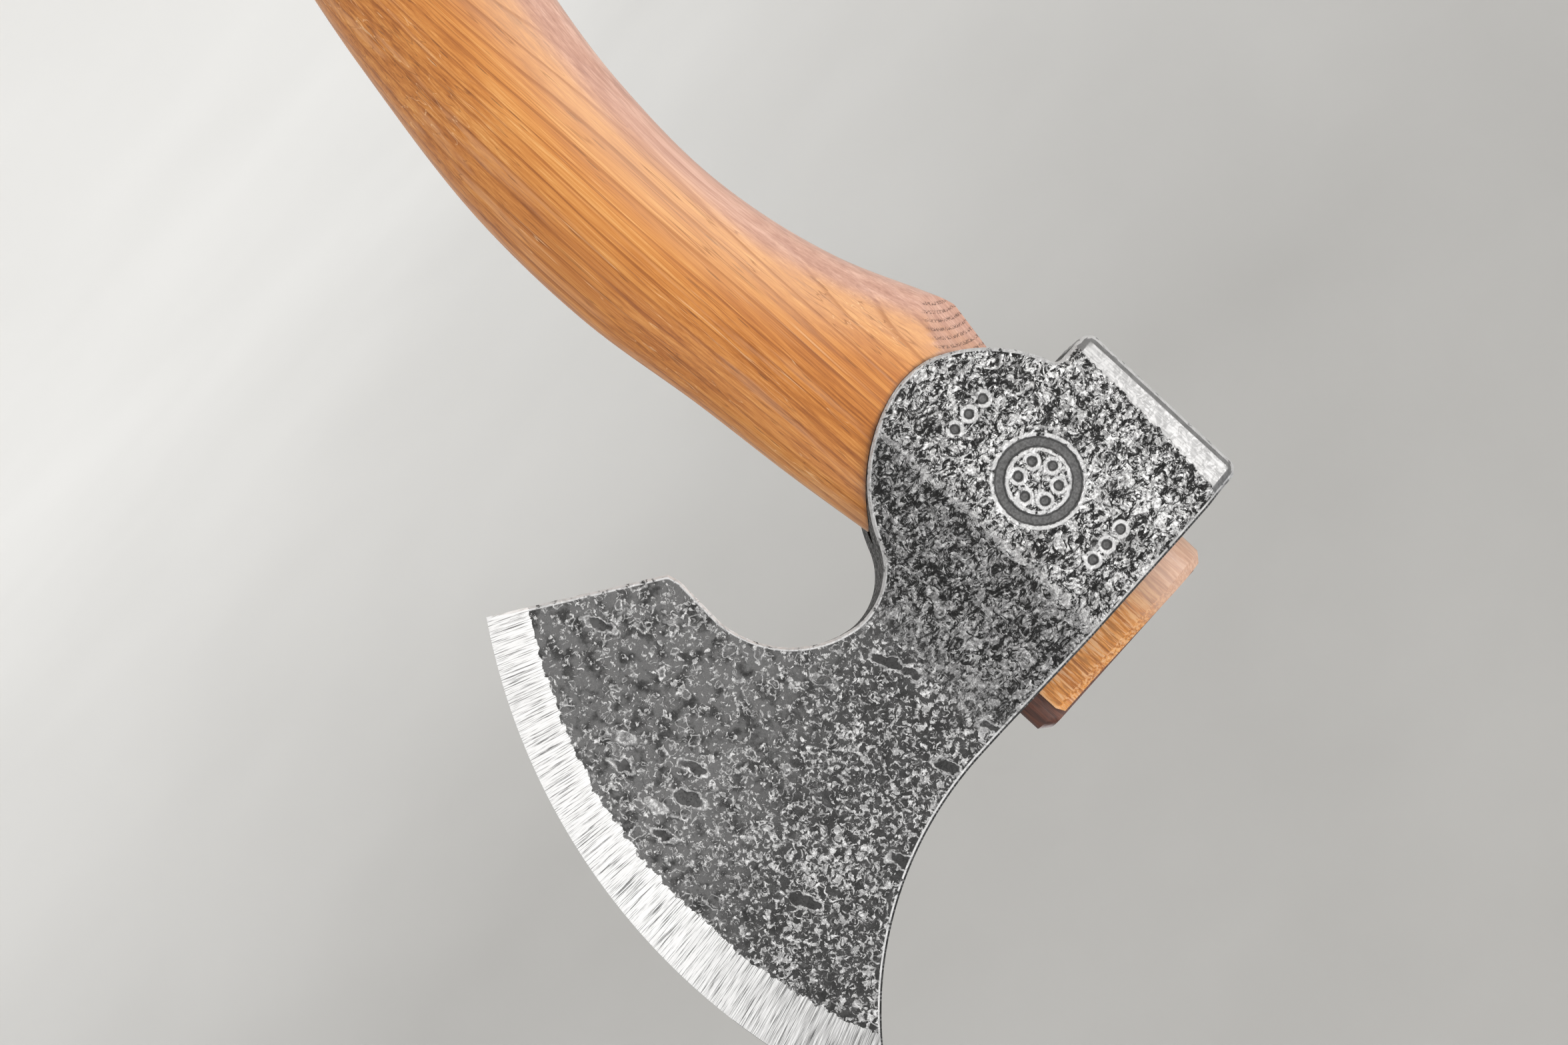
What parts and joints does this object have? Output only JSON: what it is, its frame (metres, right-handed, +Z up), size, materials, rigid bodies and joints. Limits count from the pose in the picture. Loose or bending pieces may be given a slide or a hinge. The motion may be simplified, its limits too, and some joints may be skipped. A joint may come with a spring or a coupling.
{
  "type": "hatchet",
  "caption": "Bearded hatchet: forged steel head with hammer poll and side lugs, wedged on a curved hardwood handle.",
  "frame": {"origin": "centre of the flat butt at the handle's lower end", "axes": "+Z up the handle towards the head's top, +X towards the cutting edge, cheeks face +Y and -Y"},
  "size_m": [0.1348, 0.03, 0.4015],
  "materials": {
    "steel": "dark forge scale with bright worn high spots, ground bright at the edge and poll",
    "hardwood": "oiled, satin",
    "wedge_wood": "oiled dark hardwood"
  },
  "bodies": {
    "root": {"axe_head": "steel", "handle": "hardwood", "wedge": "wedge_wood"}
  },
  "joints": []
}
